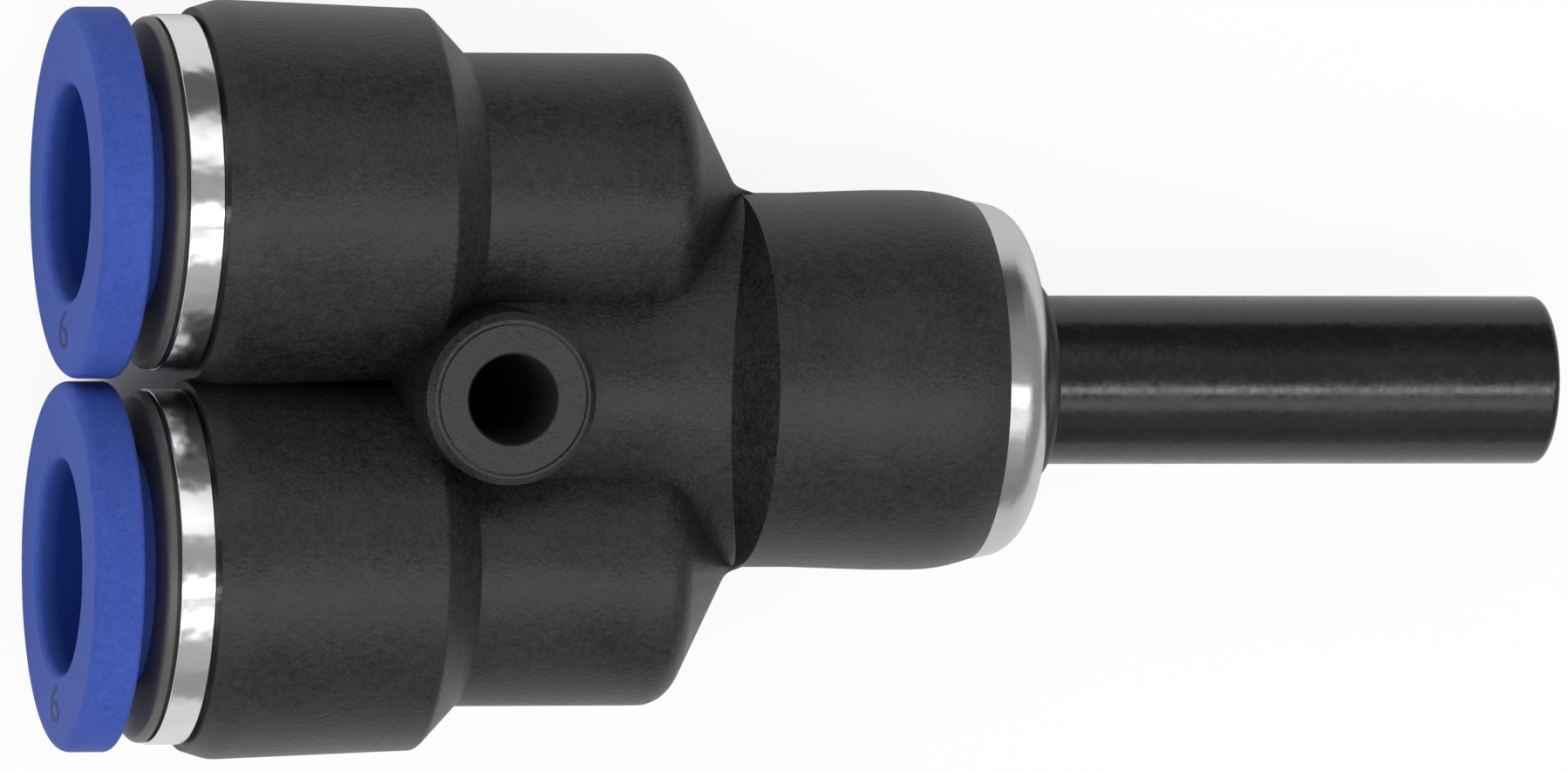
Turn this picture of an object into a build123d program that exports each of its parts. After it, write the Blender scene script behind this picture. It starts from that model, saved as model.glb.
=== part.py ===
from build123d import *
import math
import os

# Push-in Y connector with a plug-in stem. All sizes are in millimetres.
# X runs along the stem, Z along the cross hole, and the origin is the middle of the cross hole.
# The two ports open towards -X at plus and minus half the pitch along Y.

# Tube, and clearances between pieces
TUBE_RADIUS = 3.0
TUBE_BORE_RADIUS = 2.0
TUBE_CLEARANCE = 0.05
LIP_CLEARANCE = 0.06
ENTRY_CLEARANCE = 0.2
RUNNING_CLEARANCE = 0.05
SEAT_CLEARANCE = 0.02
END_PLAY = 0.05

# Release collar
COLLAR_WALL = 0.95
COLLAR_FLANGE_THICKNESS = 1.75
COLLAR_FRONT_ROUNDING = 0.4
COLLAR_BACK_ROUNDING = 0.2
COLLAR_SPACING = 0.16
COLLAR_TRAVEL = 0.8
COLLAR_MOUTH_FLARE = 0.62
COLLAR_MOUTH_DEPTH = 2.2
COLLAR_MOUTH_ROUNDING = 0.4
COLLAR_HOOK = 0.35
COLLAR_SLOT_COUNT = 4
COLLAR_SLOT_WIDTH = 0.8
COLLAR_SLOT_START = 1.4

# Guide bush
BUSH_NOSE_THICKNESS = 0.47
BUSH_NOSE_ROUNDING = 0.27
BUSH_NOSE_STEP = 0.07
BUSH_GROOVE_WIDTH = 0.13
BUSH_GROOVE_DEPTH = 0.3
BUSH_GUIDE_LENGTH = 4.4
HOOK_CLEARANCE = 0.1
BUSH_SKIRT_WALL = 0.46

# Port ring
BAND_WIDTH = 1.27
BAND_GAP = 0.13
BAND_EDGE_ROUNDING = 0.08
RING_SLEEVE_LENGTH = 3.7
RING_SLEEVE_WALL = 0.65

# Grip ring and its seat
GRIP_THICKNESS = 0.3
GRIP_RIM_WIDTH = 1.03
CLAW_DEPTH = 1.1
CLAW_COUNT = 10
CLAW_SLOT_WIDTH = 0.5
CLAW_SEAT_LENGTH = 1.6
CLAW_SEAT_RELIEF = 0.15
CLAW_SEAT_LIP = 0.55

# Washer and seal behind the grip ring
WASHER_THICKNESS = 0.5
SEAL_LENGTH = 1.65
SEAL_LIP_WALL = 0.7
SEAL_GROOVE_DEPTH = 0.9

# Port barrels of the body
BARREL_WALL = 1.05
BARREL_REAR_DROP = 0.28
BARREL_MERGE = 0.4
BARREL_MOUTH_LEAD = 0.9
BARREL_MOUTH_DROP = 0.28
BARREL_MOUTH_BLEND = 1.5
BARREL_REAR_ROUNDING = 0.25
SHOULDER_WALL = 0.4
SHOULDER_LENGTH = 1.5
BAND_STEP = 0.53
TUBE_SEAT_LENGTH = 4.7
NECK_WALL = 1.92
NECK_LENGTH = 7.45
NECK_END_ROUNDING = 1.2
NECK_END_ANGLE = 61.1
FAIRING_RADIUS = 0.3
FAIRING_BLEND = 0.8
FAIRING_OVERLAP = 0.7
FLOW_RADIUS = 2.6
FLOW_END_WALL = 0.5

# Cross hole and its boss
CROSS_HOLE_RADIUS = 1.57
CROSS_HOLE_CHAMFER = 0.08
BOSS_WALL = 1.48
BOSS_SETBACK = 2.13
BOSS_RECESS = 0.45
BOSS_CHAMFER = 0.25
BOSS_GROOVE_INSET = 0.1
BOSS_GROOVE_WIDTH = 0.09
BOSS_GROOVE_DEPTH = 0.12

# Rib from the boss to the stem barrel, and the chamber inside it
RIB_RADIUS = 4.7
FAN_HEIGHT_RADIUS = 4.6
CHAMBER_OVERLAP = 0.5
CHAMBER_HALF_HEIGHT = 2.2
CHAMBER_BOSS_WALL = 1.3
CHAMBER_ROUNDING = 1.0

# Stem, with its seal and washer
STEM_JOURNAL_STEP = 0.2
STEM_REACH = 18.62
STEM_END_ROUNDING = 0.3
STEM_BORE_FLARE = 0.25
STEM_FLANGE_CLEARANCE = 0.15
STEM_WASHER_THICKNESS = 0.6
STEM_SEAL_SECTION = 1.57
STEM_SEAL_PLAY = 0.1
STEM_SEAL_ROUNDING = 0.5
GLAND_LENGTH = 1.8
GLAND_STEP = 0.7

# Stem barrel
STEM_BARREL_WALL = 1.16
STEM_BARREL_LENGTH = 8.46
STEM_BARREL_SHOULDER_ANGLE = 58.0
STEM_SWELL = 0.11
STEM_SWELL_START = 1.9
STEM_SWELL_LENGTH = 3.1
STEM_BARREL_END_DROP = 0.36
STEM_BARREL_END_LENGTH = 1.15
STEM_BARREL_BLEND = 6.0

# Stem ring and bush
STEM_BAND_WIDTH = 1.75
STEM_BAND_DROP = 0.3
STEM_BAND_ROUNDING = 1.35
STEM_RING_SLEEVE_LENGTH = 5.0
STEM_RING_SLEEVE_WALL = 0.6
STEM_BUSH_WALL = 0.35
STEM_BUSH_LENGTH = 3.3
STEM_BUSH_NOSE = 2.65
STEM_BUSH_ROUNDING = 0.35

# Radii worked outwards from the tube
TUBE_SEAT_RADIUS = TUBE_RADIUS + TUBE_CLEARANCE
LIP_RADIUS = TUBE_RADIUS + LIP_CLEARANCE
COLLAR_BORE_RADIUS = TUBE_RADIUS + ENTRY_CLEARANCE
COLLAR_NECK_RADIUS = COLLAR_BORE_RADIUS + COLLAR_WALL
COLLAR_HOOK_RADIUS = COLLAR_NECK_RADIUS + COLLAR_HOOK
BUSH_BORE_RADIUS = COLLAR_NECK_RADIUS + RUNNING_CLEARANCE
BUSH_RELIEF_RADIUS = COLLAR_HOOK_RADIUS + HOOK_CLEARANCE
BUSH_RADIUS = BUSH_RELIEF_RADIUS + BUSH_SKIRT_WALL
RING_BORE_RADIUS = BUSH_RADIUS + SEAT_CLEARANCE
RING_RADIUS = RING_BORE_RADIUS + RING_SLEEVE_WALL
PORT_BORE_RADIUS = RING_RADIUS + SEAT_CLEARANCE
GRIP_ROOT_RADIUS = RING_RADIUS - GRIP_RIM_WIDTH
BARREL_RADIUS = PORT_BORE_RADIUS + BARREL_WALL
BARREL_REAR_RADIUS = BARREL_RADIUS - BARREL_REAR_DROP
BAND_RADIUS = BARREL_RADIUS - BAND_STEP
BUSH_NOSE_RADIUS = BAND_RADIUS - BUSH_NOSE_STEP
NECK_RADIUS = TUBE_SEAT_RADIUS + NECK_WALL
PORT_Y = BARREL_RADIUS - BARREL_MERGE / 2
COLLAR_FLANGE_RADIUS = PORT_Y - COLLAR_SPACING / 2

# Depths in a port, measured inwards from the mouth of its barrel
BAND_FRONT = -(BAND_GAP + BAND_WIDTH)
NOSE_FRONT = BAND_FRONT - BUSH_NOSE_THICKNESS
FLANGE_BACK = NOSE_FRONT - COLLAR_TRAVEL - END_PLAY
COLLAR_FRONT = FLANGE_BACK - COLLAR_FLANGE_THICKNESS
HOOK_SEAT = NOSE_FRONT + BUSH_GUIDE_LENGTH
GRIP_BACK = RING_SLEEVE_LENGTH + GRIP_THICKNESS
CLAW_SEAT_BACK = GRIP_BACK + CLAW_SEAT_LENGTH
WASHER_BACK = CLAW_SEAT_BACK + WASHER_THICKNESS
PORT_DEPTH = WASHER_BACK + SEAL_LENGTH
TUBE_STOP = PORT_DEPTH + TUBE_SEAT_LENGTH
BARREL_LENGTH = PORT_DEPTH + SHOULDER_WALL

# Places along X
MOUTH_X = -(BARREL_LENGTH + BOSS_SETBACK)
NECK_START_X = MOUTH_X + BARREL_LENGTH + SHOULDER_LENGTH
NECK_END_X = NECK_START_X + NECK_LENGTH
NECK_SLOPE = math.tan(math.radians(NECK_END_ANGLE))
FAIRING_X = NECK_END_X + (NECK_RADIUS - FAIRING_RADIUS) / NECK_SLOPE
FAN_START_X = NECK_END_X - NECK_END_ROUNDING
STEM_BARREL_X = NECK_END_X + NECK_RADIUS / NECK_SLOPE
STEM_MOUTH_X = STEM_BARREL_X + STEM_BARREL_LENGTH
STEM_WASHER_BACK_X = STEM_MOUTH_X - STEM_RING_SLEEVE_LENGTH
GLAND_END_X = STEM_WASHER_BACK_X - STEM_WASHER_THICKNESS
GLAND_START_X = GLAND_END_X - GLAND_LENGTH
CHAMBER_START_X = CROSS_HOLE_RADIUS + CHAMBER_BOSS_WALL
BUSH_END_X = STEM_MOUTH_X + STEM_BUSH_NOSE
BUSH_BACK_X = STEM_MOUTH_X - STEM_BUSH_LENGTH
STEM_END_X = BUSH_END_X + STEM_REACH

# Radii on the stem side, worked outwards from the stem
STEM_JOURNAL_RADIUS = TUBE_RADIUS + STEM_JOURNAL_STEP
STEM_BUSH_BORE_RADIUS = STEM_JOURNAL_RADIUS + RUNNING_CLEARANCE
STEM_NOSE_RADIUS = STEM_BUSH_BORE_RADIUS + STEM_BUSH_WALL
GLAND_RADIUS = STEM_JOURNAL_RADIUS + STEM_SEAL_SECTION
STEM_BORE_RADIUS = GLAND_RADIUS + GLAND_STEP
STEM_RING_RADIUS = STEM_BORE_RADIUS - SEAT_CLEARANCE
STEM_RING_BORE_RADIUS = STEM_RING_RADIUS - STEM_RING_SLEEVE_WALL
STEM_BUSH_RADIUS = STEM_RING_BORE_RADIUS - SEAT_CLEARANCE
STEM_FLANGE_RADIUS = STEM_RING_BORE_RADIUS - STEM_FLANGE_CLEARANCE
STEM_BARREL_RADIUS = STEM_BORE_RADIUS + STEM_BARREL_WALL
STEM_SWELL_RADIUS = STEM_BARREL_RADIUS + STEM_SWELL
STEM_BARREL_END_RADIUS = STEM_SWELL_RADIUS - STEM_BARREL_END_DROP

BOSS_RADIUS = CROSS_HOLE_RADIUS + BOSS_WALL
BOSS_HALF_HEIGHT = BARREL_RADIUS - BOSS_RECESS


def turned(outline):
    """Turn a closed outline about the X axis. Each corner is (x, radius, rounding)."""
    corners = [(x, radius) for x, radius, rounding in outline]
    roundings = [rounding for x, radius, rounding in outline]
    path = FilletPolyline(*corners, radius=roundings, close=True)
    return revolve(make_face(path), axis=Axis.X)


def tube_between(start, end, inner, outer):
    """A plain ring along X with square ends."""
    return turned([(start, inner, 0), (start, outer, 0), (end, outer, 0), (end, inner, 0)])


def rod_between(start, end, radius):
    """A plain cylinder along X."""
    return turned([(start, 0, 0), (start, radius, 0), (end, radius, 0), (end, 0, 0)])


def radial_slots(count, start, end, inner, outer, width):
    """Slots through a wall round the X axis, evenly spaced."""
    slot = Pos((start + end) / 2, 0, (inner + outer) / 2) * Box(end - start, width, outer - inner)
    return [Rot(X=turn * 360 / count) * slot for turn in range(count)]


def claw_front(radius):
    """Depth of the claws' front face at a radius. The claws lean away from the mouth."""
    return RING_SLEEVE_LENGTH + CLAW_DEPTH * (GRIP_ROOT_RADIUS - radius) / (GRIP_ROOT_RADIUS - LIP_RADIUS)


def collar_nose(radius):
    """Depth of the collar's inner end at a radius, short of the claws by its travel and play."""
    return claw_front(radius) - COLLAR_TRAVEL - END_PLAY


def make_release_collar():
    """Flanged sleeve whose slotted end hooks behind the bush and reaches for the claws."""
    hook_front = HOOK_SEAT + END_PLAY
    mouth = COLLAR_BORE_RADIUS + COLLAR_MOUTH_FLARE
    collar = turned([
        (COLLAR_FRONT, mouth, COLLAR_MOUTH_ROUNDING),
        (COLLAR_FRONT, COLLAR_FLANGE_RADIUS, COLLAR_FRONT_ROUNDING),
        (FLANGE_BACK, COLLAR_FLANGE_RADIUS, COLLAR_BACK_ROUNDING),
        (FLANGE_BACK, COLLAR_NECK_RADIUS, 0),
        (hook_front, COLLAR_NECK_RADIUS, 0),
        (hook_front, COLLAR_HOOK_RADIUS, 0),
        (collar_nose(COLLAR_HOOK_RADIUS), COLLAR_HOOK_RADIUS, 0),
        (collar_nose(COLLAR_BORE_RADIUS), COLLAR_BORE_RADIUS, 0),
        (COLLAR_FRONT + COLLAR_MOUTH_DEPTH, COLLAR_BORE_RADIUS, 0),
    ])
    slot_end = collar_nose(COLLAR_BORE_RADIUS) + COLLAR_HOOK
    slot_start = hook_front - COLLAR_SLOT_START
    slot_top = COLLAR_HOOK_RADIUS + COLLAR_HOOK
    return collar - radial_slots(
        COLLAR_SLOT_COUNT, slot_start, slot_end, TUBE_RADIUS, slot_top, COLLAR_SLOT_WIDTH
    )


def make_guide_bush():
    """Bush that guides the collar, with a rounded nose and a fine groove before the bright band."""
    groove_start = BAND_FRONT - BUSH_GROOVE_WIDTH
    groove_floor = BUSH_NOSE_RADIUS - BUSH_GROOVE_DEPTH
    return turned([
        (NOSE_FRONT, BUSH_BORE_RADIUS, 0),
        (NOSE_FRONT, BUSH_NOSE_RADIUS, BUSH_NOSE_ROUNDING),
        (groove_start, BUSH_NOSE_RADIUS, 0),
        (groove_start, groove_floor, 0),
        (BAND_FRONT, groove_floor, 0),
        (BAND_FRONT, BUSH_RADIUS, 0),
        (RING_SLEEVE_LENGTH, BUSH_RADIUS, 0),
        (RING_SLEEVE_LENGTH, BUSH_RELIEF_RADIUS, 0),
        (HOOK_SEAT, BUSH_RELIEF_RADIUS, 0),
        (HOOK_SEAT, BUSH_BORE_RADIUS, 0),
    ])


def make_port_ring():
    """Bright band just clear of the mouth, with the sleeve that is pressed into the barrel."""
    return turned([
        (BAND_FRONT, RING_BORE_RADIUS, 0),
        (BAND_FRONT, BAND_RADIUS, BAND_EDGE_ROUNDING),
        (-BAND_GAP, BAND_RADIUS, BAND_EDGE_ROUNDING),
        (-BAND_GAP, RING_RADIUS, 0),
        (RING_SLEEVE_LENGTH, RING_RADIUS, 0),
        (RING_SLEEVE_LENGTH, RING_BORE_RADIUS, 0),
    ])


def make_grip_ring():
    """Sprung steel ring with claws that lean inwards and away from the mouth."""
    ring = turned([
        (RING_SLEEVE_LENGTH, GRIP_ROOT_RADIUS, 0),
        (RING_SLEEVE_LENGTH, RING_RADIUS, 0),
        (GRIP_BACK, RING_RADIUS, 0),
        (GRIP_BACK, GRIP_ROOT_RADIUS, 0),
        (claw_front(LIP_RADIUS) + GRIP_THICKNESS, LIP_RADIUS, 0),
        (claw_front(LIP_RADIUS), LIP_RADIUS, 0),
    ])
    slot_end = GRIP_BACK + CLAW_DEPTH + GRIP_THICKNESS
    return ring - radial_slots(
        CLAW_COUNT, RING_SLEEVE_LENGTH - GRIP_THICKNESS, slot_end,
        TUBE_RADIUS / 2, GRIP_ROOT_RADIUS, CLAW_SLOT_WIDTH,
    )


def make_claw_seat():
    """Backing ring with a cone that leaves the claws room to flex."""
    return turned([
        (GRIP_BACK, GRIP_ROOT_RADIUS + CLAW_SEAT_RELIEF, 0),
        (GRIP_BACK, RING_RADIUS, 0),
        (CLAW_SEAT_BACK, RING_RADIUS, 0),
        (CLAW_SEAT_BACK, LIP_RADIUS + CLAW_SEAT_LIP, 0),
    ])


def make_seal_washer():
    """Flat washer between the claw seat and the tube seal."""
    return tube_between(CLAW_SEAT_BACK, WASHER_BACK, COLLAR_BORE_RADIUS, RING_RADIUS)


def make_tube_seal():
    """Rubber cup seal with its groove towards the pressure."""
    lip_top = LIP_RADIUS + SEAL_LIP_WALL
    heel = RING_RADIUS - SEAL_LIP_WALL
    groove = PORT_DEPTH - SEAL_GROOVE_DEPTH
    middle = (lip_top + heel) / 2
    return turned([
        (WASHER_BACK, COLLAR_BORE_RADIUS + COLLAR_HOOK, 0),
        (WASHER_BACK, RING_RADIUS, 0),
        (PORT_DEPTH, RING_RADIUS, 0),
        (PORT_DEPTH, heel, 0),
        (groove, middle, 0),
        (PORT_DEPTH, lip_top, 0),
        (PORT_DEPTH - LIP_CLEARANCE, LIP_RADIUS, 0),
        (groove, LIP_RADIUS, 0),
    ])


def make_port_outside():
    """Stepped barrel of one port: eased mouth, chamfer, neck and a cone that fairs into the stem barrel."""
    barrel_end = MOUTH_X + BARREL_LENGTH
    return turned([
        (MOUTH_X, 0, 0),
        (MOUTH_X, BARREL_RADIUS - BARREL_MOUTH_DROP, 0),
        (MOUTH_X + BARREL_MOUTH_LEAD, BARREL_RADIUS, BARREL_MOUTH_BLEND),
        (barrel_end, BARREL_REAR_RADIUS, BARREL_REAR_ROUNDING),
        (NECK_START_X, NECK_RADIUS, 0),
        (NECK_END_X, NECK_RADIUS, NECK_END_ROUNDING),
        (FAIRING_X, FAIRING_RADIUS, FAIRING_BLEND),
        (STEM_BARREL_X + FAIRING_OVERLAP, 0, 0),
    ])


def make_port_inside():
    """Bore for the cartridge, seat for the tube's end and flow passage behind it."""
    return turned([
        (MOUTH_X + BAND_FRONT, 0, 0),
        (MOUTH_X + BAND_FRONT, PORT_BORE_RADIUS, 0),
        (MOUTH_X + PORT_DEPTH, PORT_BORE_RADIUS, 0),
        (MOUTH_X + PORT_DEPTH, TUBE_SEAT_RADIUS, 0),
        (MOUTH_X + TUBE_STOP, TUBE_SEAT_RADIUS, 0),
        (MOUTH_X + TUBE_STOP, FLOW_RADIUS, 0),
        (NECK_END_X - FLOW_END_WALL, FLOW_RADIUS, 0),
        (NECK_END_X - FLOW_END_WALL, 0, 0),
    ])


def make_boss():
    """Cross boss along Z, with chamfered rims and a fine round groove in each face."""
    boss = Cylinder(BOSS_RADIUS, 2 * BOSS_HALF_HEIGHT)
    rims = boss.edges().filter_by(GeomType.CIRCLE)
    boss = chamfer(rims, BOSS_CHAMFER)
    outer = BOSS_RADIUS - BOSS_CHAMFER - BOSS_GROOVE_INSET
    inner = outer - BOSS_GROOVE_WIDTH
    groove = Cylinder(outer, 2 * BOSS_GROOVE_DEPTH) - Cylinder(inner, 2 * BOSS_GROOVE_DEPTH)
    for face in (BOSS_HALF_HEIGHT, -BOSS_HALF_HEIGHT):
        boss -= Pos(0, 0, face) * groove
    return boss


def make_cross_hole():
    """Hole through the boss, with a small chamfer at each end."""
    hole = Cylinder(CROSS_HOLE_RADIUS, 2 * BOSS_HALF_HEIGHT)
    mouth = Cone(CROSS_HOLE_RADIUS, CROSS_HOLE_RADIUS + 2 * CROSS_HOLE_CHAMFER, 2 * CROSS_HOLE_CHAMFER)
    for turn in (0, 180):
        hole += Rot(X=turn) * Pos(0, 0, BOSS_HALF_HEIGHT) * mouth
    return hole


def make_fan():
    """Web that widens from the rib to the full width of the stem barrel."""
    start = Plane.YZ.offset(FAN_START_X) * Circle(RIB_RADIUS)
    end = Plane.YZ.offset(STEM_BARREL_X) * Ellipse(STEM_BARREL_RADIUS, FAN_HEIGHT_RADIUS)
    return loft([start.face(), end.face()], ruled=True)


def make_stem_barrel():
    """Barrel round the stem's seat, with a conical shoulder and a slight swell."""
    shoulder = STEM_BARREL_RADIUS / math.tan(math.radians(STEM_BARREL_SHOULDER_ANGLE))
    swell_start = STEM_BARREL_X + STEM_SWELL_START
    return turned([
        (STEM_BARREL_X - shoulder, 0, 0),
        (STEM_BARREL_X, STEM_BARREL_RADIUS, 0),
        (swell_start, STEM_BARREL_RADIUS, STEM_BARREL_BLEND),
        (swell_start + STEM_SWELL_LENGTH, STEM_SWELL_RADIUS, STEM_BARREL_BLEND),
        (STEM_MOUTH_X - STEM_BARREL_END_LENGTH, STEM_SWELL_RADIUS, STEM_BARREL_BLEND),
        (STEM_MOUTH_X, STEM_BARREL_END_RADIUS, 0),
        (STEM_MOUTH_X, 0, 0),
    ])


def make_stem_inside():
    """Bore for the ring and washer, and the groove for the stem's seal."""
    return turned([
        (GLAND_START_X, 0, 0),
        (GLAND_START_X, GLAND_RADIUS, 0),
        (GLAND_END_X, GLAND_RADIUS, 0),
        (GLAND_END_X, STEM_BORE_RADIUS, 0),
        (STEM_MOUTH_X + STEM_BAND_WIDTH, STEM_BORE_RADIUS, 0),
        (STEM_MOUTH_X + STEM_BAND_WIDTH, 0, 0),
    ])


def make_chamber():
    """Flat chamber that joins both flow passages to the stem."""
    half_width = PORT_Y - FLOW_RADIUS + CHAMBER_OVERLAP
    section = RectangleRounded(2 * half_width, 2 * CHAMBER_HALF_HEIGHT, CHAMBER_ROUNDING)
    start = Plane.YZ.offset(CHAMBER_START_X) * section
    return extrude(start, GLAND_START_X + GLAND_LENGTH / 2 - CHAMBER_START_X)


def make_body():
    """One moulding: two port barrels, boss, rib, fan and stem barrel, with every passage."""
    body = make_boss() + rod_between(0, FAN_START_X, RIB_RADIUS) + make_fan() + make_stem_barrel()
    for side in (PORT_Y, -PORT_Y):
        body += Pos(0, side, 0) * make_port_outside()
    for side in (PORT_Y, -PORT_Y):
        body -= Pos(0, side, 0) * make_port_inside()
    body -= make_stem_inside()
    body -= make_chamber()
    return body - make_cross_hole()


def make_stem_ring():
    """Bright ring with a well rounded edge that closes the stem barrel and holds the bush."""
    band_end = STEM_MOUTH_X + STEM_BAND_WIDTH
    lip = STEM_NOSE_RADIUS + SEAT_CLEARANCE
    return turned([
        (STEM_MOUTH_X, lip, 0),
        (band_end, lip, 0),
        (band_end, STEM_BARREL_END_RADIUS - STEM_BAND_DROP, STEM_BAND_ROUNDING),
        (STEM_MOUTH_X, STEM_BARREL_END_RADIUS, 0),
        (STEM_MOUTH_X, STEM_RING_RADIUS, 0),
        (STEM_WASHER_BACK_X, STEM_RING_RADIUS, 0),
        (STEM_WASHER_BACK_X, STEM_RING_BORE_RADIUS, 0),
        (STEM_MOUTH_X, STEM_RING_BORE_RADIUS, 0),
    ])


def make_stem_bush():
    """Shouldered bush that the stem turns in."""
    return turned([
        (BUSH_BACK_X, STEM_BUSH_BORE_RADIUS, 0),
        (BUSH_BACK_X, STEM_BUSH_RADIUS, 0),
        (STEM_MOUTH_X, STEM_BUSH_RADIUS, 0),
        (STEM_MOUTH_X, STEM_NOSE_RADIUS, 0),
        (BUSH_END_X, STEM_NOSE_RADIUS, STEM_BUSH_ROUNDING),
        (BUSH_END_X, STEM_BUSH_BORE_RADIUS, 0),
    ])


def make_stem():
    """Plug-in tube, with a journal that turns in the bush and a flange that holds it there."""
    inner_end = GLAND_START_X + STEM_SEAL_PLAY
    flange_back = STEM_WASHER_BACK_X + END_PLAY
    flange_front = BUSH_BACK_X - END_PLAY
    journal_end = BUSH_END_X + END_PLAY
    flare = TUBE_BORE_RADIUS + STEM_BORE_FLARE
    return turned([
        (inner_end, TUBE_BORE_RADIUS, 0),
        (inner_end, STEM_JOURNAL_RADIUS, 0),
        (flange_back, STEM_JOURNAL_RADIUS, 0),
        (flange_back, STEM_FLANGE_RADIUS, 0),
        (flange_front, STEM_FLANGE_RADIUS, 0),
        (flange_front, STEM_JOURNAL_RADIUS, 0),
        (journal_end, STEM_JOURNAL_RADIUS, 0),
        (journal_end, TUBE_RADIUS, 0),
        (STEM_END_X, TUBE_RADIUS, STEM_END_ROUNDING),
        (STEM_END_X, flare, 0),
        (STEM_END_X - STEM_BORE_FLARE, TUBE_BORE_RADIUS, 0),
    ])


def make_stem_seal():
    """O-ring, squeezed between the stem and the wall of its groove."""
    inner = STEM_JOURNAL_RADIUS + SEAT_CLEARANCE
    outer = GLAND_RADIUS - SEAT_CLEARANCE
    start = GLAND_START_X + STEM_SEAL_PLAY
    return turned([
        (start, inner, STEM_SEAL_ROUNDING),
        (start, outer, STEM_SEAL_ROUNDING),
        (GLAND_END_X, outer, STEM_SEAL_ROUNDING),
        (GLAND_END_X, inner, STEM_SEAL_ROUNDING),
    ])


def make_stem_seal_washer():
    """Washer that closes the O-ring's groove."""
    return tube_between(GLAND_END_X, STEM_WASHER_BACK_X, STEM_BUSH_BORE_RADIUS, STEM_RING_RADIUS)


def port_pieces():
    """The pieces in one port, placed from the mouth of its barrel."""
    return {
        "release_collar": make_release_collar(),
        "guide_bush": make_guide_bush(),
        "port_ring": make_port_ring(),
        "grip_ring": make_grip_ring(),
        "claw_seat": make_claw_seat(),
        "seal_washer": make_seal_washer(),
        "tube_seal": make_tube_seal(),
    }


def main():
    """Make every piece in its place and write one file for each."""
    pieces = {
        "body": make_body(),
        "stem_ring": make_stem_ring(),
        "stem_bush": make_stem_bush(),
        "stem": make_stem(),
        "stem_seal": make_stem_seal(),
        "stem_seal_washer": make_stem_seal_washer(),
    }
    for port, side in (("a", PORT_Y), ("b", -PORT_Y)):
        for name, piece in port_pieces().items():
            pieces[f"{name}_{port}"] = Pos(MOUTH_X, side, 0) * piece
    os.makedirs("parts", exist_ok=True)
    for name, piece in pieces.items():
        export_step(piece, f"parts/{name}.step")


main()
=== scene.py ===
"""Push-in Y connector with a plug-in stem: finishes, size marks and studio."""
import logging
import math
from dataclasses import dataclass
from enum import Enum

import bpy
from mathutils import Matrix, Vector


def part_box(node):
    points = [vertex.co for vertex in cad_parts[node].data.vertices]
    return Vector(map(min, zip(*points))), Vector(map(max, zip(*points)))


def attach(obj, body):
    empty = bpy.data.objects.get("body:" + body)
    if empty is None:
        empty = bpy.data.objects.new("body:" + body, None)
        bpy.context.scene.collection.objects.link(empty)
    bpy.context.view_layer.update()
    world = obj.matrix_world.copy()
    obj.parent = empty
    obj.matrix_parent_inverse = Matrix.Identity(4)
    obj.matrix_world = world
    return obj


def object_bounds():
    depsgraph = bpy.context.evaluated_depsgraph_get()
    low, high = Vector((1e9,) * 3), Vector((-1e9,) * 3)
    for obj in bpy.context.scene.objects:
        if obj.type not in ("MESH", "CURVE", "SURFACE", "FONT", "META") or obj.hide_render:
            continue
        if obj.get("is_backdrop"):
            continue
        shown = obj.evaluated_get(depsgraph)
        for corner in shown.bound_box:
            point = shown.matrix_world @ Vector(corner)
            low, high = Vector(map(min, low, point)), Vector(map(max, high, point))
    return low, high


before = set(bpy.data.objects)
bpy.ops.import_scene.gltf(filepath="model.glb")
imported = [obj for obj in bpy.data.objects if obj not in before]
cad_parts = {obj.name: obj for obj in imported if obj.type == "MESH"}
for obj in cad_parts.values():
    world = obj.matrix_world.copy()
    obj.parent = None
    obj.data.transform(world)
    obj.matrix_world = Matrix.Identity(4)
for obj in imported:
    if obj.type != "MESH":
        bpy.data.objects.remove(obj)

LOG = logging.getLogger("y_connector")
MM = 0.001
PORT_AXIS_Y = 6.6 * MM
DIGIT_SHARE = 0.7  # a digit's height over the font's size
MATT_ROUGHNESS = 0.9
WHITE = (1.0, 1.0, 1.0, 1.0)

# Moulded grain: how its fine grain, wider pits and slow waves add up.
FINE_SHARE = 0.6
PIT_SHARE = 0.4
PIT_SIZE_SHARE = 0.37
TONE_GRAIN_SHARE = 0.7
TONE_WAVE_SHARE = 0.3
TONE_RANGE = (0.36, 0.64)

# Turned rings: how little they change round the part, and the scale of the handling marks.
RING_SIDE_SHARE = 0.03
HANDLING_MARK_SCALE = 900.0

Colour = tuple[float, float, float]
Axes = tuple[Vector, Vector, Vector]


class Port(Enum):
    """The two tube ports, named as their pieces are."""

    A = "a"
    B = "b"


def deselect_all() -> None:
    """Leave no object selected."""
    bpy.ops.object.select_all(action="DESELECT")


def make_active(piece: bpy.types.Object) -> None:
    """Select one object alone and make it the active one.

    Args:
        piece: The object that the next operator works on.
    """
    deselect_all()
    piece.select_set(True)
    bpy.context.view_layer.objects.active = piece


def apply_place(piece: bpy.types.Object) -> None:
    """Move an object's place, turn and scale into its mesh.

    Args:
        piece: A mesh object.
    """
    make_active(piece)
    bpy.ops.object.transform_apply(location=True, rotation=True, scale=True)


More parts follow.
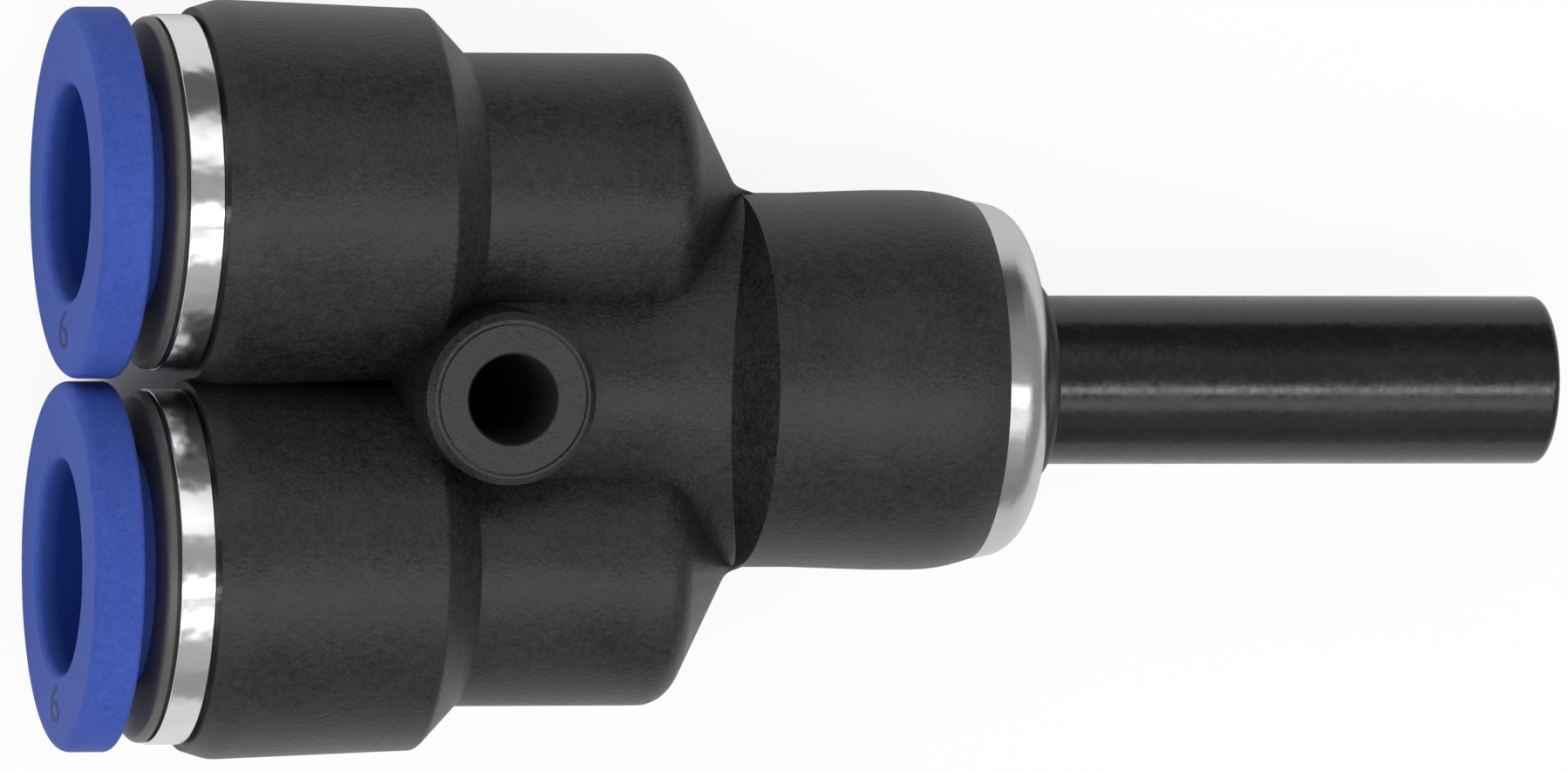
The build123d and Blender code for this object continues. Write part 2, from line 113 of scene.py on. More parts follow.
def add_maths(tree: bpy.types.NodeTree, operation: str, first: object,
              second: object = None, clamp: bool = False) -> bpy.types.NodeSocket:
    """Combine two values in a node tree.

    Args:
        tree: The nodes to add to.
        operation: The Math node's operation.
        first: A socket or a number.
        second: A socket or a number, or nothing for an operation on one value.
        clamp: Whether the result is kept between 0 and 1.

    Returns:
        The result's socket.
    """
    node = tree.nodes.new("ShaderNodeMath")
    node.operation = operation
    node.use_clamp = clamp
    for place, value in enumerate((first, second)):
        if isinstance(value, bpy.types.NodeSocket):
            tree.links.new(value, node.inputs[place])
        elif value is not None:
            node.inputs[place].default_value = value
    return node.outputs[0]


@dataclass
class GroupBuilder:
    """A shader node group under construction, whose inputs and outputs are numbers.

    Attributes:
        name: The group's name.
    """

    name: str

    def __post_init__(self) -> None:
        """Make the empty group with its input and output nodes."""
        self.tree = bpy.data.node_groups.new(self.name, "ShaderNodeTree")
        self.source = self.tree.nodes.new("NodeGroupInput")
        self.result = self.tree.nodes.new("NodeGroupOutput")

    def take(self, name: str, value: float) -> bpy.types.NodeSocket:
        """Add an input.

        Args:
            name: The input's name.
            value: The value it has until a material sets its own.

        Returns:
            The socket that gives the input inside the group.
        """
        entry = self.tree.interface.new_socket(name, in_out="INPUT", socket_type="NodeSocketFloat")
        entry.default_value = value
        return self.source.outputs[name]

    def give(self, name: str, socket: bpy.types.NodeSocket) -> None:
        """Add an output and join a socket to it.

        Args:
            name: The output's name.
            socket: The socket inside the group that feeds it.
        """
        self.tree.interface.new_socket(name, in_out="OUTPUT", socket_type="NodeSocketFloat")
        self.tree.links.new(socket, self.result.inputs[name])

    def place(self) -> bpy.types.NodeSocket:
        """Give the socket of the object's own coordinates."""
        return self.tree.nodes.new("ShaderNodeTexCoord").outputs["Object"]

    def split(self, vector: bpy.types.NodeSocket) -> bpy.types.bpy_prop_collection:
        """Split coordinates into their three parts.

        Args:
            vector: The coordinates' socket.

        Returns:
            The sockets X, Y and Z, by name.
        """
        node = self.tree.nodes.new("ShaderNodeSeparateXYZ")
        self.tree.links.new(vector, node.inputs[0])
        return node.outputs

    def merge(self, *parts: bpy.types.NodeSocket) -> bpy.types.NodeSocket:
        """Make coordinates of three parts.

        Args:
            *parts: The sockets of X, Y and Z.

        Returns:
            The coordinates' socket.
        """
        node = self.tree.nodes.new("ShaderNodeCombineXYZ")
        for part, socket in zip(parts, node.inputs):
            self.tree.links.new(part, socket)
        return node.outputs[0]

    def maths(self, operation: str, first: object, second: object = None,
              clamp: bool = False) -> bpy.types.NodeSocket:
        """Combine two values in the group, as add_maths does.

        Args:
            operation: The Math node's operation.
            first: A socket or a number.
            second: A socket or a number, or nothing for an operation on one value.
            clamp: Whether the result is kept between 0 and 1.

        Returns:
            The result's socket.
        """
        return add_maths(self.tree, operation, first, second, clamp)

    def blend(self, first: bpy.types.NodeSocket, first_share: object,
              second: bpy.types.NodeSocket, second_share: object) -> bpy.types.NodeSocket:
        """Add shares of two values.

        Args:
            first: The first value's socket.
            first_share: Its share, a socket or a number.
            second: The second value's socket.
            second_share: Its share, a socket or a number.

        Returns:
            The sum's socket.
        """
        return self.maths("ADD", self.maths("MULTIPLY", first, first_share),
                          self.maths("MULTIPLY", second, second_share))

    def noise(self, vector: bpy.types.NodeSocket, scale: object, detail: float,
              roughness: float = 0.5) -> bpy.types.NodeSocket:
        """Add a noise texture.

        Args:
            vector: The coordinates it reads.
            scale: A socket or a number, in cycles per metre.
            detail: How many finer layers it has.
            roughness: How strong the finer layers are.

        Returns:
            The socket of its value.
        """
        node = self.tree.nodes.new("ShaderNodeTexNoise")
        self.tree.links.new(vector, node.inputs["Vector"])
        if isinstance(scale, bpy.types.NodeSocket):
            self.tree.links.new(scale, node.inputs["Scale"])
        else:
            node.inputs["Scale"].default_value = scale
        node.inputs["Detail"].default_value = detail
        node.inputs["Roughness"].default_value = roughness
        return node.outputs["Fac"]


def build_grain_group() -> None:
    """Make a group of fine spark-eroded mould grain over slow, faint waves.

    It gives the grain's height, its tone from 0 to 1, and a mask that varies slowly.
    """
    group = GroupBuilder("Moulded grain")
    size = group.take("Grain Scale", 9000.0)
    waves = group.take("Wave Scale", 260.0)
    share = group.take("Wave Share", 0.25)
    place = group.place()
    fine = group.noise(place, size, detail=2.0, roughness=0.6)
    pit_size = group.maths("MULTIPLY", size, PIT_SIZE_SHARE)
    pits = group.noise(place, pit_size, detail=3.0, roughness=0.55)
    slow = group.noise(place, waves, detail=3.0)
    grain = group.blend(fine, FINE_SHARE, pits, PIT_SHARE)
    height = group.maths("ADD", grain, group.maths("MULTIPLY", slow, share))
    tone = group.blend(grain, TONE_GRAIN_SHARE, slow, TONE_WAVE_SHARE)
    spread = group.tree.nodes.new("ShaderNodeMapRange")
    spread.inputs["From Min"].default_value = TONE_RANGE[0]
    spread.inputs["From Max"].default_value = TONE_RANGE[1]
    group.tree.links.new(tone, spread.inputs["Value"])
    group.give("Height", height)
    group.give("Tone", spread.outputs["Result"])
    group.give("Mottle", slow)


def build_zone_group(name: str, across: str, axis_distance: float) -> None:
    """Make a group with the zone inside a radius round two axes, even on both sides along Y.

    It gives a mask that is 1 inside the zone and 0 outside it.

    Args:
        name: The group's name.
        across: The other direction square to the axes, "X" or "Z".
        axis_distance: How far along Y each axis lies, or 0 for one axis in the middle.
    """
    group = GroupBuilder(name)
    axis = group.take("Axis Distance", axis_distance)
    radius = group.take("Radius", 4.0 * MM)
    blend = group.take("Blend", 0.3 * MM)
    parts = group.split(group.place())
    aside = group.maths("SUBTRACT", group.maths("ABSOLUTE", parts["Y"]), axis)
    squares = group.maths("ADD", group.maths("POWER", aside, 2.0),
                          group.maths("POWER", parts[across], 2.0))
    inside = group.maths("SUBTRACT", radius, group.maths("SQRT", squares))
    inside = group.maths("ADD", inside, group.maths("MULTIPLY", blend, 0.5))
    group.give("Inside", group.maths("DIVIDE", inside, blend, clamp=True))


def build_footprint_group() -> None:
    """Make a group with a soft-edged rectangle of floor, even on both sides of the X axis.

    It gives a mask that is 0 inside the rectangle and 1 outside it.
    """
    group = GroupBuilder("Footprint")
    middle = group.take("Middle X", 0.0)
    half_x = group.take("Half X", 20.0 * MM)
    half_y = group.take("Half Y", 6.0 * MM)
    blend = group.take("Blend", 1.0 * MM)
    parts = group.split(group.place())
    along = group.maths("ABSOLUTE", group.maths("SUBTRACT", parts["X"], middle))
    beyond_x = group.maths("DIVIDE", group.maths("SUBTRACT", along, half_x), blend)
    across = group.maths("ABSOLUTE", parts["Y"])
    beyond_y = group.maths("DIVIDE", group.maths("SUBTRACT", across, half_y), blend)
    group.give("Outside", group.maths("MAXIMUM", beyond_x, beyond_y, clamp=True))


def build_turning_group() -> None:
    """Make a group of fine rings round X, as a lathe leaves under plating.

    It gives the height of the rings with soft dents, and a mask of a few handling marks.
    """
    group = GroupBuilder("Turned rings")
    pitch = group.take("Ring Scale", 14000.0)
    ring_share = group.take("Ring Share", 0.012)
    dent_scale = group.take("Dent Scale", 620.0)
    place = group.place()
    parts = group.split(place)
    line = group.merge(
        parts["X"],
        group.maths("MULTIPLY", parts["Y"], RING_SIDE_SHARE),
        group.maths("MULTIPLY", parts["Z"], RING_SIDE_SHARE),
    )
    rings = group.noise(line, pitch, detail=1.0)
    marks = group.noise(place, HANDLING_MARK_SCALE, detail=4.0, roughness=0.7)
    dents = group.noise(place, dent_scale, detail=2.0, roughness=0.6)
    height = group.maths("ADD", group.maths("MULTIPLY", rings, ring_share), dents)
    group.give("Height", height)
    group.give("Marks", marks)


def mix_colours(tree: bpy.types.NodeTree, share: bpy.types.NodeSocket,
                first: bpy.types.NodeSocket | Colour,
                second: bpy.types.NodeSocket | Colour) -> bpy.types.NodeSocket:
    """Mix two colours.

    Args:
        tree: The nodes to add to.
        share: How much of the second colour there is.
        first: A socket or a colour.
        second: A socket or a colour.

    Returns:
        The socket of the mixed colour.
    """
    node = tree.nodes.new("ShaderNodeMix")
    node.data_type = "RGBA"
    tree.links.new(share, node.inputs["Factor"])
    for place, value in (("A", first), ("B", second)):
        if isinstance(value, bpy.types.NodeSocket):
            tree.links.new(value, node.inputs[place])
        else:
            node.inputs[place].default_value = (*value, 1.0)
    return node.outputs["Result"]


@dataclass(frozen=True)
class Finish:
    """What every finish shares: a Principled surface with colour, gloss and relief that vary.

    Attributes:
        name: The material's name.
        dark: The colour where the pattern's mask is 0.
        light: The colour where the mask is 1.
        roughness: The roughness at those two ends.
        bump: The strength of the relief.
        bump_depth: The depth of the relief, in metres.
        metallic: 1 for bare metal, or 0.
        specular: The strength of the reflections of a surface that isn't metal.
        group_name: The node group of the pattern.
        mask_output: The group's output that is the mask.
        settings: Inputs of the group with their values, where they differ from its own.
    """

    name: str
    dark: Colour
    light: Colour
    roughness: tuple[float, float]
    bump: float
    bump_depth: float
    metallic: float = 0.0
    specular: float = 0.5
    group_name: str = "Moulded grain"
    mask_output: str = "Mottle"
    settings: tuple[tuple[str, float], ...] = ()

    def build(self) -> bpy.types.Material:
        """Make the material.

        Returns:
            The new material.
        """
        material = bpy.data.materials.new(self.name)
        material.use_nodes = True
        nodes = material.node_tree.nodes
        links = material.node_tree.links
        shader = nodes["Principled BSDF"]
        shader.inputs["Metallic"].default_value = self.metallic
        shader.inputs["Specular IOR Level"].default_value = self.specular
        pattern = nodes.new("ShaderNodeGroup")
        pattern.node_tree = bpy.data.node_groups[self.group_name]
        for key, value in self.settings:
            pattern.inputs[key].default_value = value
        mask = pattern.outputs[self.mask_output]
        links.new(self.colour(material.node_tree, mask), shader.inputs["Base Color"])
        links.new(self.gloss(material.node_tree, mask), shader.inputs["Roughness"])
        relief = nodes.new("ShaderNodeBump")
        relief.inputs["Strength"].default_value = self.bump
        relief.inputs["Distance"].default_value = self.bump_depth
        links.new(pattern.outputs["Height"], relief.inputs["Height"])
        links.new(relief.outputs["Normal"], shader.inputs["Normal"])
        return material

    def colour(self, tree: bpy.types.NodeTree, mask: bpy.types.NodeSocket) -> bpy.types.NodeSocket:
        """Mix the two colours by the pattern's mask.

        Args:
            tree: The material's nodes.
            mask: The pattern's mask.

        Returns:
            The colour's socket.
        """
        return mix_colours(tree, mask, self.dark, self.light)

    def gloss(self, tree: bpy.types.NodeTree, mask: bpy.types.NodeSocket) -> bpy.types.NodeSocket:
        """Spread the roughness over its range by the pattern's mask.

        Args:
            tree: The material's nodes.
            mask: The pattern's mask.

        Returns:
            The roughness's socket.
        """
        node = tree.nodes.new("ShaderNodeMapRange")
        node.inputs["To Min"].default_value = self.roughness[0]
        node.inputs["To Max"].default_value = self.roughness[1]
        tree.links.new(mask, node.inputs["Value"])
        return node.outputs["Result"]


@dataclass(frozen=True)
class PaintedHoleShadeFinish(Finish):
    """A finish with painted shade inside a hole: a deeper colour stands in for the shade deep in
    it, and the surface is duller there.

    Attributes:
        zone: The node group that places the hole.
        hole: The painted shade inside it: a deeper colour that stands in for the shade deep in the
            hole.
        hole_radius: The zone's radius.
        hole_blend: The width over which the two colours meet.
        hole_roughness: The roughness inside it.
    """

    zone: str = "Port bore"
    hole: Colour = (0.0, 0.0, 0.0)
    hole_radius: float = 3.75 * MM
    hole_blend: float = 0.3 * MM
    hole_roughness: float = 0.6

    def inside(self, tree: bpy.types.NodeTree) -> bpy.types.NodeSocket:
        """Place the hole's zone.

        Args:
            tree: The material's nodes.

        Returns:
            The socket of its mask.
        """
        zone = tree.nodes.new("ShaderNodeGroup")
        zone.node_tree = bpy.data.node_groups[self.zone]
        zone.inputs["Radius"].default_value = self.hole_radius
        zone.inputs["Blend"].default_value = self.hole_blend
        return zone.outputs["Inside"]

    def colour(self, tree: bpy.types.NodeTree, mask: bpy.types.NodeSocket) -> bpy.types.NodeSocket:
        """Mix the two colours by the pattern's mask, then the hole's painted shade by its zone.

        Args:
            tree: The material's nodes.
            mask: The pattern's mask.

        Returns:
            The colour's socket.
        """
        return mix_colours(tree, self.inside(tree), super().colour(tree, mask), self.hole)

    def gloss(self, tree: bpy.types.NodeTree, mask: bpy.types.NodeSocket) -> bpy.types.NodeSocket:
        """Spread the roughness by the pattern's mask, then dull the hole.

        Args:
            tree: The material's nodes.
            mask: The pattern's mask.

        Returns:
            The roughness's socket.
        """
        node = tree.nodes.new("ShaderNodeMapRange")
        tree.links.new(self.inside(tree), node.inputs["Value"])
        tree.links.new(super().gloss(tree, mask), node.inputs["To Min"])
        node.inputs["To Max"].default_value = self.hole_roughness
        return node.outputs["Result"]


BODY_FINISH = PaintedHoleShadeFinish(
    "Black grained moulding",
    dark=(0.004, 0.004, 0.0042),
    light=(0.026, 0.026, 0.0268),
    roughness=(0.34, 0.48),
    bump=1.0,
    bump_depth=0.04 * MM,
    specular=0.34,
    mask_output="Tone",
    settings=(("Grain Scale", 7500.0),),
    zone="Cross hole",
    # Painted shade: the cross hole's wall is near black, standing in for the shade deep in the
    # hole.
    hole=(0.004, 0.004, 0.004),
    hole_radius=1.62 * MM,
    hole_blend=0.06 * MM,
    hole_roughness=1.0,
)
COLLAR_FINISH = PaintedHoleShadeFinish(
    "Blue satin moulding",
    dark=(0.036, 0.072, 0.325),
    light=(0.058, 0.104, 0.400),
    roughness=(0.36, 0.46),
    bump=0.3,
    bump_depth=0.01 * MM,
    specular=0.015,
    mask_output="Tone",
    settings=(("Grain Scale", 7000.0),),
    # Painted shade: the port bore is a deeper blue, standing in for the shade deep in the bore.
    hole=(0.007, 0.022, 0.140),
)
BUSH_FINISH = Finish(
    "Dark grey satin moulding",
    dark=(0.060, 0.054, 0.054),
    light=(0.090, 0.082, 0.080),
    roughness=(0.38, 0.48),
    bump=0.3,
    bump_depth=0.01 * MM,
    mask_output="Tone",
    settings=(("Grain Scale", 6000.0),),
)
PLATED_FINISH = Finish(
    "Bright nickel plate",
    dark=(0.58, 0.575, 0.57),
    light=(0.72, 0.715, 0.71),
    roughness=(0.12, 0.26),
    bump=0.7,
    bump_depth=0.09 * MM,
    metallic=1.0,
    group_name="Turned rings",
    mask_output="Marks",
)
STEM_RING_FINISH = Finish(
    "Satin nickel plate",
    dark=(0.42, 0.415, 0.41),
    light=(0.54, 0.535, 0.53),
    roughness=(0.18, 0.28),
    bump=0.5,
    bump_depth=0.06 * MM,
    metallic=1.0,
    group_name="Turned rings",
    mask_output="Marks",
)
STEEL_FINISH = Finish(
    "Stainless spring strip",
    dark=(0.50, 0.50, 0.51),
    light=(0.62, 0.62, 0.63),
    roughness=(0.20, 0.32),
    bump=0.2,
    bump_depth=0.02 * MM,
    metallic=1.0,
    group_name="Turned rings",
    mask_output="Marks",
)
SEAT_FINISH = Finish(
    "Natural white moulding",
    dark=(0.46, 0.46, 0.43),
    light=(0.56, 0.55, 0.52),
    roughness=(0.40, 0.52),
    bump=0.25,
    bump_depth=0.01 * MM,
)
RUBBER_FINISH = Finish(
    "Black nitrile rubber",
    dark=(0.012, 0.012, 0.013),
    light=(0.022, 0.022, 0.022),
    roughness=(0.55, 0.72),
    bump=0.35,
    bump_depth=0.02 * MM,
)
STEM_FINISH = Finish(
    "Glossy black moulding",
    dark=(0.003, 0.003, 0.0033),
    light=(0.006, 0.006, 0.0063),
    roughness=(0.14, 0.32),
    bump=0.4,
    bump_depth=0.02 * MM,
    mask_output="Tone",
    settings=(("Grain Scale", 4200.0), ("Wave Share", 0.6)),
)
STEM_BUSH_FINISH = Finish(
    "Plain black moulding",
    dark=(0.012, 0.012, 0.013),
    light=(0.018, 0.018, 0.018),
    roughness=(0.40, 0.50),
    bump=0.25,
    bump_depth=0.01 * MM,
)
# Painted shade: the numeral's darker blue stands in for the shade in the strokes of a moulded
# digit.
MARK_FINISH = Finish(
    "Dark blue mark",
    dark=(0.010, 0.020, 0.100),
    light=(0.016, 0.028, 0.120),
    roughness=(0.45, 0.55),
    bump=0.2,
    bump_depth=0.01 * MM,
    specular=0.1,
)


def dress(node: str, material: bpy.types.Material) -> None:
    """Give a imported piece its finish.

    Args:
        node: The piece's name.
        material: The finish it gets.
    """
    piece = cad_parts[node]
    piece.data.materials.clear()
    piece.data.materials.append(material)
    LOG.info("dressed %s in %s", node, material.name)


@dataclass
class PortFinishes:
    """The finishes that both ports share."""

    collar: bpy.types.Material
    bush: bpy.types.Material
    plate: bpy.types.Material
    steel: bpy.types.Material
    seat: bpy.types.Material
    rubber: bpy.types.Material
    mark: bpy.types.Material


@dataclass
class PortCartridge:
    """One port's collar, bush, ring, claws and seal, with the size mark on its collar.

    Attributes:
        port: Which port it is.
        finishes: The materials of its pieces.
        numeral: The tube's size in millimetres, as marked.
        mark_height: The numeral's height.
        mark_stretch: How much the numeral is widened, against the font's own form.
        mark_radius: How far from the port's axis the numeral lies.
        mark_thickness: How thick the numeral is, half of it inside the collar's face.
    """

    port: Port
    finishes: PortFinishes
    numeral: str = "6"
    mark_height: float = 1.4 * MM
    mark_stretch: float = 1.7
    mark_radius: float = 4.9 * MM
    mark_thickness: float = 0.012 * MM

    def build(self) -> None:
        """Dress the port's pieces and add the collar's mark."""
        for piece, material in (
            ("release_collar", self.finishes.collar),
            ("guide_bush", self.finishes.bush),
            ("port_ring", self.finishes.plate),
            ("grip_ring", self.finishes.steel),
            ("claw_seat", self.finishes.seat),
            ("seal_washer", self.finishes.seat),
            ("tube_seal", self.finishes.rubber),
        ):
            dress(f"{piece}_{self.port.value}", material)
        self.build_mark()

    def build_mark(self) -> None:
        """Make the numeral that gives the tube's size, low on the collar's front face, in a darker
        blue that is painted shade.
        """
        side = self.port.value
        low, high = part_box(f"release_collar_{side}")
        axis_y = (low.y + high.y) / 2
        bpy.ops.object.text_add()
        text = bpy.context.object
        text.data.body = self.numeral
        text.data.align_x = "CENTER"
        text.data.align_y = "CENTER"
        text.data.size = self.mark_height / DIGIT_SHARE
        text.data.extrude = self.mark_thickness / 2
        bpy.ops.object.convert(target="MESH")
        mark = bpy.context.object
        mark.name = f"size_mark_{side}"
        facing = Matrix(((0, 0, -1), (0, 1, 0), (1, 0, 0))).to_4x4()
        place = Matrix.Translation((low.x, axis_y - self.mark_radius, 0.0))
        stretch = Matrix.Diagonal((self.mark_stretch, 1.0, 1.0, 1.0))
        mark.matrix_world = place @ facing @ stretch
        apply_place(mark)
        # The numeral's darker blue is painted shade for the shade in the strokes of a moulded
        # digit.
        mark.data.materials.append(self.finishes.mark)
        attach(mark, f"collar_{side}")
        LOG.info("made %s", mark.name)


@dataclass
class StemAssembly:
    """The plug-in stem with its ring, bush, seal and washer."""

    seat: bpy.types.Material
    rubber: bpy.types.Material

    def build(self) -> None:
        """Dress the stem's pieces."""
        dress("stem", STEM_FINISH.build())
        dress("stem_bush", STEM_BUSH_FINISH.build())
        dress("stem_ring", STEM_RING_FINISH.build())
        dress("stem_seal", self.rubber)
        dress("stem_seal_washer", self.seat)


@dataclass
class Camera:
    """The photograph's viewpoint: from above, a little from the ports' side and from +Y.

    Attributes:
        towards_ports: How far the view leans to the ports, as a share of its length.
        towards_side: How far it leans to +Y, as a share of its length.
        pixels_per_mm: The photograph's scale.
        frame_width: The photograph's width in pixels.
        frame_height: Its height in pixels.
        origin_x: Where the cross hole's middle shows, in pixels from the left.
        origin_y: The same from the top.
        lens: The focal length in millimetres.
        sensor: The sensor's width in millimetres.
        clip_end: How far the camera sees, in metres.
    """

    towards_ports: float = 0.25
    towards_side: float = 0.105
    pixels_per_mm: float = 32.5
    frame_width: int = 1798
    frame_height: int = 884
    origin_x: float = 540.4
    origin_y: float = 435.5
    lens: float = 400.0
    sensor: float = 36.0
    clip_end: float = 10.0

    def axes(self) -> Axes:
        """Work out the camera's right, up and backward directions.

        Returns:
            Three unit vectors in the part's frame.
        """
        back = Vector((-self.towards_ports, self.towards_side, 0.0))
        back.z = math.sqrt(1.0 - back.length_squared)
        right = Vector((1.0, 0.0, 0.0))
        right = (right - right.dot(back) * back).normalized()
        return right, back.cross(right), back

    def build(self) -> None:
        """Make the camera and set it as the scene's own."""
        right, up, back = self.axes()
        width = self.frame_width / self.pixels_per_mm * MM
        distance = width * self.lens / self.sensor
        pixel = width / self.frame_width
        shift_right = (self.frame_width / 2 - self.origin_x) * pixel
        shift_down = (self.frame_height / 2 - self.origin_y) * pixel
        place = back * distance + right * shift_right - up * shift_down
        data = bpy.data.cameras.new("Camera")
        data.lens = self.lens
        data.sensor_width = self.sensor
        data.clip_end = self.clip_end
        camera = bpy.data.objects.new("Camera", data)
        bpy.context.scene.collection.objects.link(camera)
        camera.matrix_world = Matrix((
            (right.x, up.x, back.x, place.x),
            (right.y, up.y, back.y, place.y),
            (right.z, up.z, back.z, place.z),
            (0.0, 0.0, 0.0, 1.0),
        ))
        bpy.context.scene.camera = camera


def aimed_place(tilt: float, swing: float, distance: float, axes: Axes) -> Matrix:
    """Place something round the object, facing it.

    Args:
        tilt: Degrees above the camera's axis.
        swing: Degrees to the right of it.
        distance: How far from the object.
        axes: The camera's right, up and backward directions.

    Returns:
        The place and turn, with Z pointing away from the object.
    """
    right, up, back = axes
    high = math.radians(tilt)
    aside = math.radians(swing)
    level = back * math.cos(high) + up * math.sin(high)
    towards = level * math.cos(aside) + right * math.sin(aside)
    across = (right - right.dot(towards) * towards).normalized()
    turn = Matrix((across, towards.cross(across), towards)).transposed().to_4x4()
    return Matrix.Translation(towards * distance) @ turn


def matt_material(name: str, colour: Colour) -> bpy.types.Material:
    """Make a plain matt material for a piece of the studio.

    Args:
        name: The material's name.
        colour: Its colour.

    Returns:
        The new material.
    """
    material = bpy.data.materials.new(name)
    material.use_nodes = True
    shader = material.node_tree.nodes["Principled BSDF"]
    shader.inputs["Base Color"].default_value = (*colour, 1.0)
    shader.inputs["Roughness"].default_value = MATT_ROUGHNESS
    return material


@dataclass(frozen=True)
class Softbox:
    """One rectangular studio lamp, placed by angles seen from the object.

    Attributes:
        name: The lamp's name.
        tilt: Degrees above the camera's axis.
        swing: Degrees to the right of it.
        distance: How far from the object, in metres.
        width: The lamp's width in metres.
        height: Its height in metres.
        radiance: How bright its face is.
    """

    name: str
    tilt: float
    swing: float
    distance: float
    width: float
    height: float
    radiance: float

    def build(self, axes: Axes) -> None:
        """Make the lamp, facing the object.

        Args:
            axes: The camera's right, up and backward directions.
        """
        data = bpy.data.lights.new(self.name, "AREA")
        data.shape = "RECTANGLE"
        data.size = self.width
        data.size_y = self.height
        data.energy = self.radiance * math.pi * self.width * self.height
        lamp = bpy.data.objects.new(self.name, data)
        bpy.context.scene.collection.objects.link(lamp)
        lamp.matrix_world = aimed_place(self.tilt, self.swing, self.distance, axes)
        lamp.visible_camera = False


@dataclass(frozen=True)
class Card:
    """A dark studio card that shiny surfaces reflect.

    Attributes:
        name: The card's name.
        tilt: Degrees above the camera's axis.
        distance: How far from the object, in metres.
        width: The card's width in metres.
        height: Its height in metres.
        shade: How light its grey is.
    """

    name: str
    tilt: float
    distance: float
    width: float
    height: float
    shade: float = 0.15

    def build(self, axes: Axes) -> None:
        """Make the card, facing the object.

        Args:
            axes: The camera's right, up and backward directions.
        """
        deselect_all()
        bpy.ops.mesh.primitive_plane_add(size=1.0)
        card = bpy.context.object
        card.name = self.name
        card.scale = (self.width, self.height, 1.0)
        apply_place(card)
        card.matrix_world = aimed_place(self.tilt, 0.0, self.distance, axes)
        apply_place(card)
        card.data.materials.append(matt_material(self.name, (self.shade,) * 3))
        card.visible_camera = False
        card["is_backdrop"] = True


@dataclass(frozen=True)
class FloorPatch:
    """A rectangle of the floor under or round the object, with a soft edge.

    Attributes:
        low_x: Its lowest X.
        high_x: Its highest X.
        half_y: Half its width along Y.
        blend: The width of its soft edge.
    """

    low_x: float
    high_x: float
    half_y: float
    blend: float

    def outside(self, tree: bpy.types.NodeTree) -> bpy.types.NodeSocket:
        """Mask the floor outside the patch.

        Args:
            tree: The floor material's nodes.

        Returns:
            The socket of a mask that is 0 in the patch and 1 outside it.
        """
        node = tree.nodes.new("ShaderNodeGroup")
        node.node_tree = bpy.data.node_groups["Footprint"]
        node.inputs["Middle X"].default_value = (self.low_x + self.high_x) / 2
        node.inputs["Half X"].default_value = (self.high_x - self.low_x) / 2
        node.inputs["Half Y"].default_value = self.half_y
        node.inputs["Blend"].default_value = self.blend
        return node.outputs["Outside"]


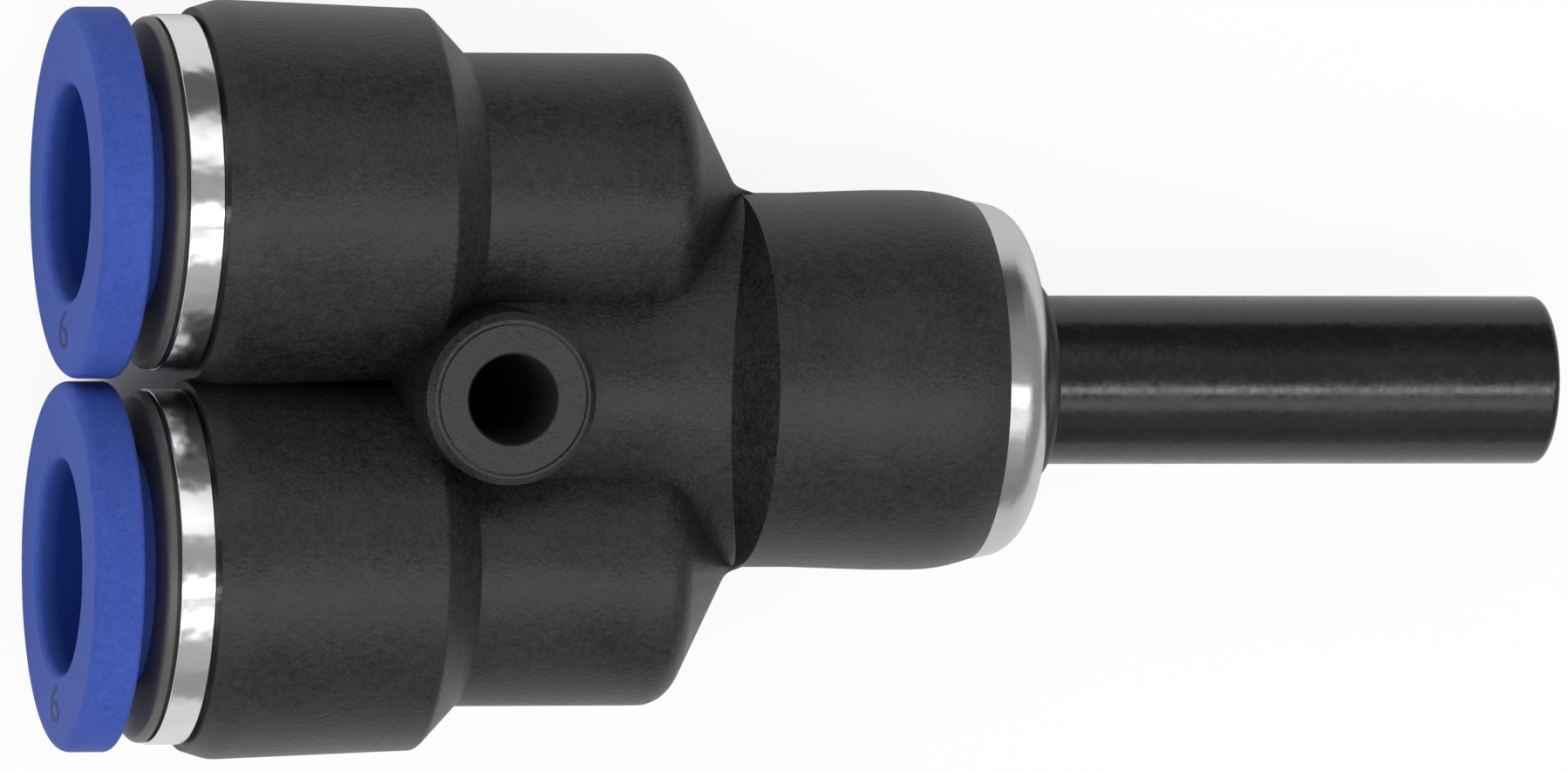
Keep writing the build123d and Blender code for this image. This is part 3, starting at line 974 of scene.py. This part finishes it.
@dataclass
class Studio:
    """White floor, soft lamps, a dark card and the light of the room.

    Attributes:
        floor_size: The floor's width in metres.
        floor_colour: Its colour.
        floor_specular: The strength of its reflections.
        floor_glow: How much of the white that the camera sees is the floor's own.
        under: The floor that shows its shade to the camera, in the gap between the ports.
        near: The floor that shows its shade in reflections.
        room_light: The strength of the light from all round.
        lamps: The lamps.
        card: The dark card.
    """

    floor_size: float = 6.0
    floor_colour: Colour = (0.92, 0.92, 0.92)
    floor_specular: float = 0.1
    floor_glow: float = 0.9
    under: FloorPatch = FloorPatch(
        low_x=-11.6 * MM, high_x=12.0 * MM, half_y=2.4 * MM, blend=1.5 * MM)
    near: FloorPatch = FloorPatch(
        low_x=-30.0 * MM, high_x=55.0 * MM, half_y=16.0 * MM, blend=14.0 * MM)
    room_light: float = 0.42
    lamps: tuple[Softbox, ...] = (
        Softbox("Strip softbox", tilt=-16.0, swing=0.0, distance=0.9,
                width=3.2, height=0.12, radiance=7.0),
        Softbox("Key softbox", tilt=-38.0, swing=0.0, distance=0.9,
                width=3.2, height=0.26, radiance=1.6),
        Softbox("Low softbox", tilt=-62.0, swing=0.0, distance=0.9,
                width=2.0, height=0.34, radiance=0.15),
        Softbox("Port softbox", tilt=35.5, swing=3.0, distance=0.15,
                width=0.16, height=0.086, radiance=1.2),
    )
    card: Card = Card("Dark card", tilt=70.0, distance=0.7, width=1.4, height=0.78)

    def build(self, camera: Camera) -> None:
        """Make the floor, the lamps and the room.

        Args:
            camera: The camera whose directions place the lamps.
        """
        self.build_floor()
        self.build_room()
        axes = camera.axes()
        for lamp in self.lamps:
            lamp.build(axes)
        self.card.build(axes)
        bpy.context.scene.view_settings.view_transform = "Standard"

    def build_floor(self) -> None:
        """Lay the floor under the lowest point of the object."""
        low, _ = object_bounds()
        deselect_all()
        bpy.ops.mesh.primitive_plane_add(size=self.floor_size, location=(0.0, 0.0, low[2]))
        floor = bpy.context.object
        floor.name = "Floor"
        apply_place(floor)
        floor.data.materials.append(self.floor_material())
        floor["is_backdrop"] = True

    def floor_material(self) -> bpy.types.Material:
        """Make a matt white that shows close to pure white, and keeps the shade under the object.

        Returns:
            The floor's material.
        """
        material = matt_material("Studio floor", self.floor_colour)
        tree = material.node_tree
        shader = tree.nodes["Principled BSDF"]
        shader.inputs["Specular IOR Level"].default_value = self.floor_specular
        rays = tree.nodes.new("ShaderNodeLightPath").outputs
        seen = add_maths(tree, "MULTIPLY", rays["Is Camera Ray"], self.under.outside(tree))
        mirrored = add_maths(tree, "MAXIMUM", rays["Is Glossy Ray"], rays["Is Transmission Ray"])
        mirrored = add_maths(tree, "MULTIPLY", mirrored, self.near.outside(tree))
        seen = add_maths(tree, "MAXIMUM", seen, mirrored)
        share = add_maths(tree, "MULTIPLY", seen, self.floor_glow)
        white = tree.nodes.new("ShaderNodeEmission")
        both = tree.nodes.new("ShaderNodeMixShader")
        tree.links.new(share, both.inputs["Fac"])
        tree.links.new(shader.outputs[0], both.inputs[1])
        tree.links.new(white.outputs[0], both.inputs[2])
        tree.links.new(both.outputs[0], tree.nodes["Material Output"].inputs["Surface"])
        return material

    def build_room(self) -> None:
        """Light the scene evenly from all round."""
        world = bpy.data.worlds.new("Room")
        bpy.context.scene.world = world
        world.use_nodes = True
        room = world.node_tree.nodes["Background"]
        room.inputs["Color"].default_value = WHITE
        room.inputs["Strength"].default_value = self.room_light


def main() -> None:
    """Dress every piece, then set up the studio and the camera."""
    logging.basicConfig(level=logging.INFO, format="%(message)s")
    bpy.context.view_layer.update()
    build_grain_group()
    # Zones of the holes, where the finishes paint shade and raise the roughness.
    build_zone_group("Port bore", "Z", PORT_AXIS_Y)
    build_zone_group("Cross hole", "X", 0.0)
    build_footprint_group()
    build_turning_group()
    seat = SEAT_FINISH.build()
    rubber = RUBBER_FINISH.build()
    dress("body", BODY_FINISH.build())
    finishes = PortFinishes(
        collar=COLLAR_FINISH.build(),
        bush=BUSH_FINISH.build(),
        plate=PLATED_FINISH.build(),
        steel=STEEL_FINISH.build(),
        seat=seat,
        rubber=rubber,
        mark=MARK_FINISH.build(),
    )
    for port in Port:
        PortCartridge(port, finishes).build()
    StemAssembly(seat, rubber).build()
    camera = Camera()
    camera.build()
    Studio().build(camera)


if __name__ == "__main__":
    main()
